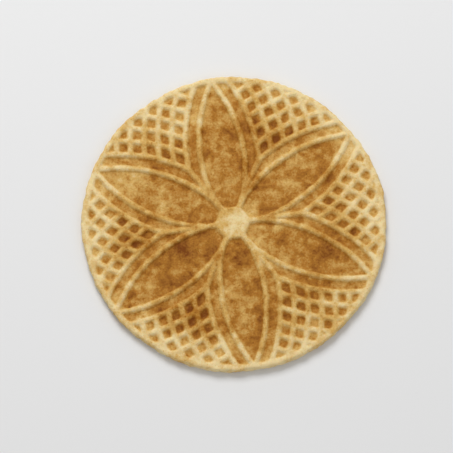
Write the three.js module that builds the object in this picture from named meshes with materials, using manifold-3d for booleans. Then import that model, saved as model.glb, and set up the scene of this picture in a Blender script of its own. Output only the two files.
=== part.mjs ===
import * as THREE from 'three';
import { ConvexGeometry } from 'three/addons/geometries/ConvexGeometry.js';
import { mergeGeometries, mergeVertices } from 'three/addons/utils/BufferGeometryUtils.js';
import Module from 'manifold-3d';

const wasm = await Module();
wasm.setup();

// A pizzelle: a thin round wafer baked between two patterned plates. Both faces carry the same
// relief. Six petals reach from the middle to the rim, as compasses draw them: each side of a
// petal is an arc struck from the tip of the petal beside it. Ribs follow the arcs at an even
// pitch, and where two families of them cross they leave a lattice of small pockets.
// Sizes are in millimetres and angles in degrees, counter-clockwise from +x. The wafer lies on
// z = 0, and the middle of its box is over the origin.

// Wafer
const waferDiameter = 127;
const waferThickness = 4;
const webThickness = 1.5; // what is left between two opposite pocket floors
const rimWidth = 2;
const edgeRounding = 1.2;
const outlineSteps = 120;
const rimSteps = 48;
const edgeWaves = [
  { cycles: 4, height: 0.2, turn: 15 },
  { cycles: 9, height: 0.16, turn: 195 },
  { cycles: 17, height: 0.1, turn: 150 },
];
const patternOffset = 0.6; // the pattern's centre lies this far to the left of the wafer's

// Petals and ribs
const petalCount = 6;
const firstPetal = 38.4;
const arcCentreRadius = 60.2; // from the pattern's centre to the point that an arc is struck from
const petalRadius = 61.3; // of the arc along a petal's side
const ribPitch = 5.77; // from one arc to the next
const petalRib = 1.2; // across its flat top
const latticeRib = 1.3;
const hubRadius = 6.3;
const petalSteps = 12;
const channelSteps = 96; // in a full turn
const latticeRows = 8;

// Pockets
const wallRun = 1.0; // how far a pocket's wall leans in on its way down
const cutterLift = 0.2; // how far a cutter stands above the face
const smallestFloor = 1.2; // square millimetres: a rim cell with less is left solid

const pocketDepth = (waferThickness - webThickness) / 2;
const petalTurn = 360 / petalCount;
const petals = Array.from({ length: petalCount }, (_, i) => firstPetal + i * petalTurn);
const waferMiddle = new THREE.Vector2(patternOffset, 0); // seen from the pattern's centre

function direction(angle) {
  const radians = THREE.MathUtils.degToRad(angle);
  return new THREE.Vector2(Math.cos(radians), Math.sin(radians));
}

function polar(angle, distance) {
  return direction(angle).multiplyScalar(distance);
}

// A straight side of a pocket. The pocket lies where normal . point < reach, less half the rib
// that runs along the side.
function side(normal, reach, rib) {
  return { normal, reach, rib };
}

// The same on a rib's far side: the pocket lies beyond it.
function beyond(normal, reach, rib) {
  return side(normal.clone().negate(), -reach, rib);
}

// Sides that follow an arc round a centre.
function arcSides(centre, radius, from, to, steps, rib) {
  return Array.from({ length: steps }, (_, i) => {
    const normal = direction(from + (to - from) * (i + 0.5) / steps);
    return side(normal, normal.dot(centre) + radius, rib);
  });
}

function clip(outline, { normal, reach }, inset) {
  return outline.flatMap((point, i) => {
    const next = outline[(i + 1) % outline.length];
    const here = reach - inset - normal.dot(point);
    const there = reach - inset - normal.dot(next);
    const kept = here > 0 ? [point] : [];
    if (here * there < 0) {
      kept.push(point.clone().lerp(next, here / (here - there)));
    }
    return kept;
  });
}

// How far a pocket's wall leans in at a depth below the face.
function lean(depth) {
  return wallRun * depth / pocketDepth;
}

function outlineAt(sides, depth) {
  const square = [45, 135, 225, 315].map((angle) => polar(angle, waferDiameter));
  return sides.reduce((outline, one) => clip(outline, one, one.rib / 2 + lean(depth)), square);
}

// The cutter of one pocket in the upper face, or null where hardly any floor would be left.
function pocket(sides) {
  const levels = [-cutterLift, pocketDepth];
  const outlines = levels.map((depth) => outlineAt(sides, depth));
  const floor = outlines[1];
  if (floor.length < 3 || Math.abs(THREE.ShapeUtils.area(floor)) < smallestFloor) {
    return null;
  }
  const corners = outlines.flatMap((outline, i) => (
    outline.map(({ x, y }) => new THREE.Vector3(x, y, waferThickness - levels[i]))
  ));
  return new ConvexGeometry(corners);
}

const rim = arcSides(waferMiddle, waferDiameter / 2 - rimWidth, 0, 360, rimSteps, 0);

// The plain recess inside a petal, out from the hub. Spokes part it from the petals beside it.
function petal(tip) {
  const sides = [-1, 1].flatMap((hand) => {
    const centre = polar(tip + hand * petalTurn, arcCentreRadius);
    const from = tip - hand * petalTurn;
    const arc = arcSides(centre, petalRadius, from, from - hand * petalTurn, petalSteps, petalRib);
    const spoke = direction(tip + hand * (petalTurn / 2 + 90));
    return [...arc, side(spoke, 0, petalRib)];
  });
  return pocket([...sides, beyond(direction(tip), hubRadius, 0), ...rim]);
}

// A circular groove between the arc of a petal and the next arc out, round the arcs' centre.
function groove(centre) {
  const profile = [[-cutterLift, -1], [pocketDepth, -1], [pocketDepth, 1], [-cutterLift, 1]];
  const points = [...profile, profile[0]].map(([depth, hand]) => {
    const halfWidth = (ribPitch - petalRib) / 2 - lean(depth);
    const middle = petalRadius + ribPitch / 2;
    return new THREE.Vector2(middle + hand * halfWidth, waferThickness - depth);
  });
  return new THREE.LatheGeometry(points, channelSteps)
    .rotateX(Math.PI / 2)
    .translate(centre.x, centre.y, 0);
}

// The channel along one side of a petal, from the spoke beside it to the rim.
function channel(tip, hand) {
  const spoke = direction(tip + hand * (petalTurn / 2 + 90));
  const reach = pocket([side(spoke, 0, petalRib), beyond(direction(tip), 0, 0), ...rim]);
  const centre = polar(tip - hand * petalTurn, arcCentreRadius);
  return solidOf(groove(centre)).intersect(solidOf(reach));
}

// One cell of the lattice between two petals, whose arcs are struck from two opposite points.
// Its row numbers count the arcs of either family, out from the petal that the family follows.
function cell(axis, rowA, rowB) {
  const centres = [-90, 90].map((turn) => polar(axis + turn, arcCentreRadius));
  const radii = [rowA, rowB].map((row) => petalRadius + (row + 0.5) * ribPitch);
  const across = (radii[0] ** 2 - radii[1] ** 2) / (4 * arcCentreRadius);
  const along = Math.sqrt(radii[0] ** 2 - (across + arcCentreRadius) ** 2);
  const middle = polar(axis, along).add(polar(axis + 90, across));
  const sides = centres.flatMap((centre, i) => {
    const normal = middle.clone().sub(centre).normalize();
    const reach = normal.dot(centre) + radii[i];
    const row = [rowA, rowB][i];
    return [
      side(normal, reach + ribPitch / 2, latticeRib),
      beyond(normal, reach - ribPitch / 2, row === 1 ? petalRib : latticeRib),
    ];
  });
  return pocket([...sides, ...rim]);
}

function lattice(axis) {
  const cells = [];
  for (let rowA = 1; rowA <= latticeRows; rowA += 1) {
    for (let rowB = 1; rowB <= latticeRows; rowB += 1) {
      cells.push(cell(axis, rowA, rowB));
    }
  }
  return cells;
}

function solidOf(geometry) {
  geometry.deleteAttribute('normal');
  geometry.deleteAttribute('uv');
  const merged = mergeVertices(geometry);
  return new wasm.Manifold(new wasm.Mesh({
    numProp: 3,
    vertProperties: merged.attributes.position.array,
    triVerts: Uint32Array.from(merged.index.array),
  }));
}

function geometryOf(solid) {
  const mesh = solid.getMesh();
  const geometry = new THREE.BufferGeometry();
  geometry.setAttribute('position', new THREE.BufferAttribute(mesh.vertProperties, 3));
  geometry.setIndex(new THREE.BufferAttribute(mesh.triVerts, 1));
  return geometry;
}

// The round blank with its slightly uneven edge.
function blank() {
  const outline = Array.from({ length: outlineSteps }, (_, i) => {
    const angle = 360 * i / outlineSteps;
    const swell = edgeWaves.reduce((sum, { cycles, height, turn }) => (
      sum + height * direction(cycles * angle + turn).x
    ), 0);
    return polar(angle, waferDiameter / 2 + swell).add(waferMiddle);
  });
  const geometry = new THREE.ExtrudeGeometry(new THREE.Shape(outline), {
    depth: waferThickness - 2 * edgeRounding,
    bevelThickness: edgeRounding,
    bevelSize: edgeRounding,
    bevelOffset: -edgeRounding,
    bevelSegments: 3,
  });
  return geometry.translate(0, 0, edgeRounding);
}

const pockets = petals.flatMap((tip) => [petal(tip), ...lattice(tip + petalTurn / 2)])
  .filter((one) => one !== null);
const channels = petals.flatMap((tip) => [channel(tip, 1), channel(tip, -1)]);
const upperCutters = channels.reduce((all, one) => all.add(one), solidOf(mergeGeometries(pockets)));
const lowerCutters = upperCutters.mirror([0, 0, 1]).translate([0, 0, waferThickness]);
const waferGeometry = geometryOf(solidOf(blank()).subtract(upperCutters).subtract(lowerCutters));
waferGeometry.computeBoundingBox();
const boxMiddle = waferGeometry.boundingBox.getCenter(new THREE.Vector3());
waferGeometry.translate(-boxMiddle.x, -boxMiddle.y, 0);

const bakedWafer = new THREE.MeshStandardMaterial({ color: 0xdcb464, roughness: 0.75, metalness: 0 });
const wafer = new THREE.Mesh(waferGeometry, bakedWafer);
wafer.name = 'wafer';

const group = new THREE.Group();
group.add(wafer);
export default group;
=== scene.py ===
import math

import bmesh
import bpy
import numpy as np
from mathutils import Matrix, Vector


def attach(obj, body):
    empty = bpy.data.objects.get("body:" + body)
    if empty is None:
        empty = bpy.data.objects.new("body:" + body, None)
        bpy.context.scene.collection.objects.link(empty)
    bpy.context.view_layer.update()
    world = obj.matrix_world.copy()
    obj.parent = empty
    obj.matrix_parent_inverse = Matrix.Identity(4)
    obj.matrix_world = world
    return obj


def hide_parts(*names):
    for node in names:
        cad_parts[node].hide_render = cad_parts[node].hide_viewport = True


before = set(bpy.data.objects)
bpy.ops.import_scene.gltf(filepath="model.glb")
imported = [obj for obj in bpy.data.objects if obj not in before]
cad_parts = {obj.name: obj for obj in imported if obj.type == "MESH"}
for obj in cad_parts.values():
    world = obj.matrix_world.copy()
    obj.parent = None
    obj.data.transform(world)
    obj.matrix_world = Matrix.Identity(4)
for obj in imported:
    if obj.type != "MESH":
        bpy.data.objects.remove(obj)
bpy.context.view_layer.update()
print("frame loaded")

millimetre = 0.001

# The wafer's sizes are in millimetres and its angles in degrees, counter-clockwise from +x.
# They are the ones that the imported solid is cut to.
wafer = {
    "diameter": 127.0,
    "thickness": 4.0,
    "webThickness": 1.5,
    "rimWidth": 2.0,
    "edgeRounding": 1.2,
    "edgeWaves": ((4, 0.2, 15), (9, 0.16, 195), (17, 0.1, 150)),  # cycles, height, turn
    "patternOffset": 0.6,  # the pattern's centre lies this far to the left of the wafer's
    "firstPetal": 38.4,
    "petalTurn": 60.0,
    "arcCentreRadius": 60.2,
    "petalRadius": 61.3,
    "ribPitch": 5.77,
    "petalRib": 1.2,
    "latticeRib": 1.3,
    "hubRadius": 6.3,
}

# How the baked dough departs from its clean shape, in millimetres
baking = {
    "ribRounding": 0.35,  # how far the top of a rib is rounded off
    "wallRun": 1.6,  # from the rounded top of a rib down to the pocket's floor
    "cornerSoftness": 3.2,  # less is softer where two walls meet
    "patternWander": 0.10,
    "patternWanderSpacing": 22,
    "ribWander": 0.08,
    "ribWanderSpacing": 5,
    "floorDish": 0.10,
    "floorDishWidth": 2.4,
    "floorUnevenness": 0.10,
    "floorSpacing": 4,
    "topUnevenness": 0.13,
    "topSpacing": 9,
    "deepestTop": 0.3,
    "edgeRoughness": 0.22,
    "pitCount": 220,
    "pitWidths": (0.45, 1.0),
    "pitDepth": 0.3,  # of a pit one millimetre wide
    "petalToastAndShade": 0.67,  # how dark a floor gets, beside the lattice's: partly browner bake, partly painted shade
    "channelToastAndShade": 0.54,
    "outerToastAndShade": 0.33,  # how much darker these two floors get on the way to the rim, partly browner bake and partly painted shade
    "wallFootShade": -0.12,  # below 0, a wide floor is paler away from its walls, which paints shade at the foot of the walls
    "wallFootShadeWidth": 6,
    "ringPoints": 178,  # from the middle to the rim
    "slices": 9,  # spun one at a time, which is quicker than one full spin
    "sliceSteps": 120,
    "triangles": 188000,
}


# Smooth unevenness, mostly within -1 to 1, with its bumps about one spacing apart
def unevenness(x, y, spacing, seed):
    chance = np.random.default_rng(seed)
    waves = 20
    total = np.zeros_like(x)
    for _ in range(waves):
        turn, phase = chance.uniform(0, 2 * math.pi, 2)
        rate = 2 * math.pi / (spacing * chance.uniform(0.8, 1.6))
        total += np.cos(rate * (x * math.cos(turn) + y * math.sin(turn)) + phase)
    return total / math.sqrt(2 * waves)


def smoothStep(value):
    value = np.clip(value, 0, 1)
    return value * value * (3 - 2 * value)


# Distance to the nearest of the arcs that follow each other at the ribs' pitch
def toNearestArc(distance, firstArc):
    row = np.maximum(firstArc, np.round(distance / wafer["ribPitch"]))
    return np.abs(distance - row * wafer["ribPitch"])


# How far inside a pocket each point lies, seen from the pattern's centre, or less than 0 on a
# rib, and how dark its floor gets, partly from baking browner and partly as painted shade
def patternAt(x, y):
    reach = np.hypot(x, y)
    turn = np.degrees(np.arctan2(y, x)) - wafer["firstPetal"]
    halfTurn = wafer["petalTurn"] / 2
    fold = np.radians(np.abs(turn % wafer["petalTurn"] - halfTurn))  # 0 midway between two petals
    along, across = reach * np.cos(fold), reach * np.sin(fold)
    near = np.hypot(along, wafer["arcCentreRadius"] - across) - wafer["petalRadius"]
    far = np.hypot(along, wafer["arcCentreRadius"] + across) - wafer["petalRadius"]
    outside = near > wafer["ribPitch"]  # past the channel beside a petal
    nowhere = 99.0
    rimRadius = wafer["diameter"] / 2 - wafer["rimWidth"]
    walls = (
        np.abs(near) - wafer["petalRib"] / 2,
        np.abs(near - wafer["ribPitch"]) - wafer["petalRib"] / 2,
        toNearestArc(near, 2) - wafer["latticeRib"] / 2,
        np.where(outside, toNearestArc(far, 1) - wafer["latticeRib"] / 2, nowhere),
        np.where(outside, nowhere, across - wafer["petalRib"] / 2),
        reach * np.cos(math.radians(halfTurn) - fold) - wafer["hubRadius"],
        rimRadius - np.hypot(x - wafer["patternOffset"], y),
    )
    softness = baking["cornerSoftness"]
    nearest = np.minimum.reduce(walls)
    crowd = sum(np.exp(-softness * np.minimum(wall - nearest, nowhere)) for wall in walls)
    plain = np.where(near > 0, baking["channelToastAndShade"], baking["petalToastAndShade"])
    plain += baking["outerToastAndShade"] * smoothStep((reach / rimRadius - 0.65) / 0.35)
    # the lattice's small pockets darken most: partly browner bake, partly painted shade in the
    # recesses
    toast = np.where(outside, 1.0, plain)
    return nearest - np.log(crowd) / softness, toast


# The depth of the pressed relief at each point of one face, and how dark its floors get, from
# browner bake and from painted shade in the pockets and at the foot of their walls
def pressedDepth(x, y, seed):
    wander = baking["patternWander"]
    spacing = baking["patternWanderSpacing"]
    movedX = x + wander * unevenness(x, y, spacing, seed)
    movedY = y + wander * unevenness(x, y, spacing, seed + 1)
    inside, toast = patternAt(movedX, movedY)
    inside += baking["ribWander"] * unevenness(x, y, baking["ribWanderSpacing"], seed + 2)
    floor = smoothStep((inside + baking["ribRounding"]) / baking["wallRun"])
    pocketDepth = (wafer["thickness"] - wafer["webThickness"]) / 2
    dish = baking["floorDish"] * (smoothStep(inside / baking["floorDishWidth"]) - 1)
    rough = baking["floorUnevenness"] * unevenness(x, y, baking["floorSpacing"], seed + 3)
    top = baking["topUnevenness"] * np.abs(unevenness(x, y, baking["topSpacing"], seed + 4))
    top = np.minimum(top, baking["deepestTop"])
    depth = floor * (pocketDepth + dish + rough) + (1 - floor) * top

    # burst bubbles leave small pits
    chance = np.random.default_rng(seed + 5)
    for _ in range(baking["pitCount"]):
        away = wafer["diameter"] / 2 * math.sqrt(chance.uniform(0, 0.97))
        angle = chance.uniform(0, 2 * math.pi)
        width = chance.uniform(*baking["pitWidths"])
        pitX, pitY = away * math.cos(angle) + wafer["patternOffset"], away * math.sin(angle)
        close = np.flatnonzero((np.abs(x - pitX) < 2 * width) & (np.abs(y - pitY) < 2 * width))
        apart = np.hypot(x[close] - pitX, y[close] - pitY) / width
        depth[close] += baking["pitDepth"] * width * np.exp(-2.5 * apart ** 2)
    # painted shade: a wide floor is darker at the foot of its walls than in its middle
    middle = smoothStep(inside / baking["wallFootShadeWidth"])
    return depth, toast + baking["wallFootShade"] * middle


# Puts edges and faces in the order of their corners. A spin gives them in another order each
# time, and thinning the mesh would then take away other faces.
def putInOrder(mesh):
    mesh.verts.index_update()
    for parts in (mesh.edges, mesh.faces):
        parts.index_update()
        corners = [sorted(corner.index for corner in part.verts) for part in parts]
        rank = np.empty(len(corners))
        rank[sorted(range(len(corners)), key=corners.__getitem__)] = np.arange(len(corners))
        parts.sort(key=lambda part: rank[part.index])


# A round slab with rounded edges, spun from half of its section
def spinBlank():
    radius, thickness = wafer["diameter"] / 2, wafer["thickness"]
    mesh = bmesh.new()
    section = [mesh.verts.new(point) for point in (
        (0, 0, thickness), (radius, 0, thickness), (radius, 0, 0), (0, 0, 0))]
    upper, side, lower = [mesh.edges.new(ends) for ends in zip(section, section[1:])]
    bmesh.ops.bevel(mesh, geom=section[1:3], offset=wafer["edgeRounding"], segments=5,
                    profile=0.5, affect="VERTICES", material=-1)
    longEdges = [edge for edge in mesh.edges if edge.calc_length() > radius / 2]
    sideEdges = [edge for edge in mesh.edges if 1 < edge.calc_length() < thickness]
    bmesh.ops.subdivide_edges(mesh, edges=longEdges, cuts=baking["ringPoints"])
    bmesh.ops.subdivide_edges(mesh, edges=sideEdges, cuts=5)
    slices = baking["slices"]
    bmesh.ops.spin(mesh, geom=mesh.verts[:] + mesh.edges[:], cent=(0, 0, 0), axis=(0, 0, 1),
                   angle=2 * math.pi / slices, steps=baking["sliceSteps"])
    bmesh.ops.spin(mesh, geom=mesh.verts[:] + mesh.edges[:] + mesh.faces[:], cent=(0, 0, 0),
                   axis=(0, 0, 1), angle=2 * math.pi * (slices - 1) / slices,
                   steps=slices - 1, use_duplicate=True)
    bmesh.ops.remove_doubles(mesh, verts=mesh.verts[:], dist=0.001)
    bmesh.ops.recalc_face_normals(mesh, faces=mesh.faces[:])
    putInOrder(mesh)
    return mesh


# Gives the slab its uneven outline and presses the relief into both faces
def pressWafer(mesh):
    radius, thickness = wafer["diameter"] / 2, wafer["thickness"]
    place = np.array([corner.co for corner in mesh.verts])
    x, y, z = place.T.copy()
    angle = np.arctan2(y, x)
    swell = sum(height * np.cos(cycles * angle + math.radians(turn))
                for cycles, height, turn in wafer["edgeWaves"])
    rim = smoothStep((np.hypot(x, y) / radius - 0.9) * 10)
    rough = unevenness(radius * angle, z * 1.5, 5, 3) + 0.6 * unevenness(x, y + z, 2, 4)
    stretch = 1 + swell / radius + rim * baking["edgeRoughness"] * rough / radius
    x, y = x * stretch, y * stretch
    shift = [(side.max() + side.min()) / 2 for side in (x, y)]
    x += wafer["patternOffset"]
    toast = np.ones_like(x)
    for face, seed in ((z > thickness / 2, 11), (z < thickness / 2, 31)):
        outward = np.sign(z[face] - thickness / 2)
        nearFace = smoothStep((np.abs(z[face] - thickness / 2) / (thickness / 2) - 0.3) / 0.5)
        depth, toast[face] = pressedDepth(x[face], y[face], seed)
        z[face] -= outward * nearFace * depth
    x -= wafer["patternOffset"] + shift[0]
    y -= shift[1]
    # each corner keeps how dark its floor gets, partly browner bake and partly painted shade
    toastAndShadeLayer = mesh.verts.layers.float.new("toast")
    for corner, point, brown in zip(mesh.verts, np.stack([x, y, z], 1) * millimetre, toast):
        corner.co = point
        corner[toastAndShadeLayer] = brown
    return -wafer["patternOffset"] - shift[0], -shift[1]


def bakeWafer():
    mesh = spinBlank()
    print("blank spun")
    patternCentre = pressWafer(mesh)
    print("relief pressed")
    data = bpy.data.meshes.new("bakedWafer")
    mesh.to_mesh(data)
    mesh.free()
    # each edge runs from its first corner to its later one, for the same reason as putInOrder
    ends = np.empty(2 * len(data.edges), dtype=np.int32)
    data.edges.foreach_get("vertices", ends)
    data.edges.foreach_set("vertices", np.sort(ends.reshape(-1, 2)).ravel())
    piece = bpy.data.objects.new("bakedWafer", data)
    bpy.context.collection.objects.link(piece)
    data.calc_loop_triangles()
    fewer = piece.modifiers.new("fewerFaces", "DECIMATE")
    fewer.ratio = baking["triangles"] / len(data.loop_triangles)
    bpy.context.view_layer.objects.active = piece
    bpy.ops.object.modifier_apply(modifier=fewer.name)
    piece.data.shade_smooth()
    piece.data.calc_loop_triangles()
    print("wafer baked with", len(piece.data.loop_triangles), "triangles")
    return piece, patternCentre


# A value or colour that a node gives out, so that shader maths reads as plain sums
class Signal:
    def __init__(self, finish, socket):
        self.finish = finish
        self.socket = socket

    def maths(self, operation, *values):
        return self.finish.node("Math", {"operation": operation}, dict(enumerate(values)))

    def __add__(self, other):
        return self.maths("ADD", self, other)

    def __radd__(self, other):
        return self.maths("ADD", other, self)

    def __sub__(self, other):
        return self.maths("SUBTRACT", self, other)

    def __rsub__(self, other):
        return self.maths("SUBTRACT", other, self)

    def __mul__(self, other):
        return self.maths("MULTIPLY", self, other)

    def __rmul__(self, other):
        return self.maths("MULTIPLY", other, self)

    def __abs__(self):
        return self.maths("ABSOLUTE", self)


class Finish:
    def __init__(self, name):
        self.material = bpy.data.materials.new(name)
        self.material.use_nodes = True
        self.tree = self.material.node_tree
        self.tree.nodes.clear()

    def node(self, kind, settings, sockets, output=0):
        node = self.tree.nodes.new("ShaderNode" + kind)
        for name, value in settings.items():
            if name == "stops":
                self.setStops(node.color_ramp.elements, value)
            else:
                setattr(node, name, value)
        for name, value in sockets.items():
            if isinstance(value, Signal):
                self.tree.links.new(value.socket, node.inputs[name])
            else:
                node.inputs[name].default_value = value
        return Signal(self, node.outputs[output]) if node.outputs else None

    def setStops(self, elements, stops):
        while len(elements) < len(stops):
            elements.new(1)
        for element, (position, colour) in zip(elements, stops):
            element.position = position
            element.color = colour

    # 0 where the value is at start and 1 where it is at end
    def rise(self, value, start, end):
        return self.node("MapRange", {"interpolation_type": "SMOOTHSTEP"},
                         {"Value": value, "From Min": start, "From Max": end})

    def noise(self, place, spacing, detail=2.0):
        return self.node("TexNoise", {}, {"Vector": place, "Scale": 1 / spacing, "Detail": detail})

    def surface(self, sockets):
        shader = self.node("BsdfPrincipled", {}, sockets)
        self.node("OutputMaterial", {}, {"Surface": shader})
        return self.material


# A colour as a screen shows it, from 0 to 255
def screenColour(*levels):
    light = [level / 255 for level in levels]
    return (*[step / 12.92 if step <= 0.04045 else ((step + 0.055) / 1.055) ** 2.4
              for step in light], 1)


batter = {
    "ribs": screenColour(236, 213, 159),
    "golden": screenColour(213, 172, 97),
    "toasted": screenColour(176, 118, 39),
    "brown": screenColour(122, 64, 4),
    "roughness": 0.72,
    "grain": 0.35,
    "grainDepth": 0.00052,
    "patchShift": (138, -127, 288),  # moves the brown patches about
    # how much each of these browns the surface, or pales it where below 0
    "overall": 0.37,
    "towardsRim": -0.26,
    # pocket floors darker with depth: partly browner bake, partly painted shade in the recesses
    "pocketToastAndShade": 0.42,
    "patches": 0.6,
    "blotches": 0.9,
    "mottle": 0.7,
    "fineGrain": 0.45,
    "spots": 0.12,
    "specks": 0.16,
}


def batterFinish(patternCentre):
    finish = Finish("bakedBatter")
    node, noise, rise = finish.node, finish.noise, finish.rise
    place = node("VectorMath", {"operation": "SCALE"}, {
        0: node("TexCoord", {}, {}, "Object"), "Scale": 1 / millimetre})
    flat = node("VectorMath", {"operation": "MULTIPLY"}, {0: place, 1: (1, 1, 0)})
    middle = (patternCentre[0] + wafer["patternOffset"], patternCentre[1], 0)
    fromMiddle = node("VectorMath", {"operation": "DISTANCE"}, {0: flat, 1: middle}, "Value")
    height = node("SeparateXYZ", {}, {0: place}, "Z")

    rimRadius = wafer["diameter"] / 2 - wafer["rimWidth"]
    fromFace = wafer["thickness"] / 2 - abs(height - wafer["thickness"] / 2)
    rim = rise(fromMiddle, rimRadius, rimRadius + 0.8)
    # deeper in a pocket the colour goes browner: partly the bake, partly painted shade in the
    # recess
    deep = rise(fromFace, 0.2, 1.3) * (1 - rim)
    outer = rise(fromMiddle, 40, rimRadius)
    toast = node("Attribute", {"attribute_name": "toast"}, {}, "Fac")

    moved = node("VectorMath", {"operation": "ADD"}, {0: place, 1: batter["patchShift"]})
    patches = noise(moved, 26, 2)
    blotches = noise(moved, 9, 2)
    mottle = noise(place, 3.2, 3)
    grain = noise(place, 0.9, 4)
    spots = rise(noise(place, 5, 2), 0.52, 0.68)
    specks = rise(noise(place, 0.7, 1), 0.6, 0.74)

    # the pocket term is partly browner bake and partly painted shade in the pockets
    browning = (batter["overall"] + batter["towardsRim"] * outer
                + batter["pocketToastAndShade"] * deep * toast
                + batter["patches"] * (patches - 0.5) + batter["blotches"] * (blotches - 0.5)
                + batter["mottle"] * (mottle - 0.5) + batter["fineGrain"] * (grain - 0.5)
                + batter["spots"] * deep * spots + batter["specks"] * specks)
    colour = node("ValToRGB", {"stops": (
        (0.0, batter["ribs"]), (0.35, batter["golden"]),
        (0.65, batter["toasted"]), (1.0, batter["brown"]))}, {"Fac": browning})
    # open pores of uneven shape, with a cell's random colour, taken as a grey, for its size
    crumb = {"Scale": 1.5, "Vector": node("VectorMath", {"operation": "ADD"}, {
        0: place, 1: node("TexNoise", {}, {"Vector": place, "Scale": 0.9}, "Color")})}
    fromPore = node("TexVoronoi", {}, crumb, "Distance")
    pores = rise(fromPore + 0.5 * node("TexVoronoi", {}, crumb, "Color"), 0.05, 0.6)
    rough = batter["grain"] * grain + 0.3 * noise(place, 0.35, 3) + 0.3 * pores
    bump = node("Bump", {}, {"Height": rough, "Strength": 1.0, "Distance": batter["grainDepth"]})
    return finish.surface({
        "Base Color": colour,
        "Roughness": batter["roughness"] + 0.25 * (mottle - 0.5) - 0.10 * deep,
        "Normal": bump,
        "Specular IOR Level": 0.15,
        "Subsurface Weight": 0.12,
        "Subsurface Radius": (1.0, 0.55, 0.22),
        "Subsurface Scale": 0.0012,
    })


studio = {
    "floorWidth": 3.0,
    "floorColour": (0.80, 0.80, 0.80, 1),
    "surroundings": 0.44,
    "lens": 500.0,
    "sensor": 36.0,
    "elevation": 75.0,
    "frameWidth": 0.1893,  # what the camera takes in, across the wafer
    "aim": (-0.0030, -0.0017, 0.004),
    "softboxes": (  # name, place, width, power
        ("keySoftbox", (-0.20, 0.75, 0.95), 0.6, 9.8),
        ("fillSoftbox", (0.7, -0.7, 1.1), 1.1, 2.0),
    ),
}


def buildStudio():
    mesh = bmesh.new()
    bmesh.ops.create_grid(mesh, x_segments=4, y_segments=4, size=studio["floorWidth"] / 2)
    data = bpy.data.meshes.new("floor")
    mesh.to_mesh(data)
    mesh.free()
    floor = bpy.data.objects.new("floor", data)
    bpy.context.collection.objects.link(floor)
    finish = Finish("paleFloor")
    data.materials.append(finish.surface({"Base Color": studio["floorColour"], "Roughness": 0.9}))

    world = bpy.data.worlds.new("paleRoom")
    world.use_nodes = True
    background = world.node_tree.nodes["Background"]
    background.inputs["Color"].default_value = (1, 1, 1, 1)
    background.inputs["Strength"].default_value = studio["surroundings"]
    bpy.context.scene.world = world

    for name, place, width, power in studio["softboxes"]:
        lamp = bpy.data.lights.new(name, "AREA")
        lamp.shape = "SQUARE"
        lamp.size = width
        lamp.energy = power
        softbox = bpy.data.objects.new(name, lamp)
        softbox.location = place
        softbox.rotation_euler = (-Vector(place)).to_track_quat("-Z", "Y").to_euler()
        softbox.visible_camera = False
        bpy.context.collection.objects.link(softbox)

    lens = bpy.data.cameras.new("camera")
    lens.lens = studio["lens"]
    lens.sensor_width = studio["sensor"]
    camera = bpy.data.objects.new("camera", lens)
    bpy.context.collection.objects.link(camera)
    tilt = math.radians(studio["elevation"])
    back = Vector((0, -math.cos(tilt), math.sin(tilt)))
    distance = studio["frameWidth"] * studio["lens"] / studio["sensor"]
    camera.location = Vector(studio["aim"]) + back * distance
    camera.rotation_euler = (-back).to_track_quat("-Z", "Y").to_euler()
    bpy.context.scene.camera = camera
    bpy.context.scene.view_settings.view_transform = "Standard"


bakedWafer, patternCentre = bakeWafer()
bakedWafer.data.materials.append(batterFinish(patternCentre))
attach(bakedWafer, "root")
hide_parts("wafer")
buildStudio()
print("studio built")
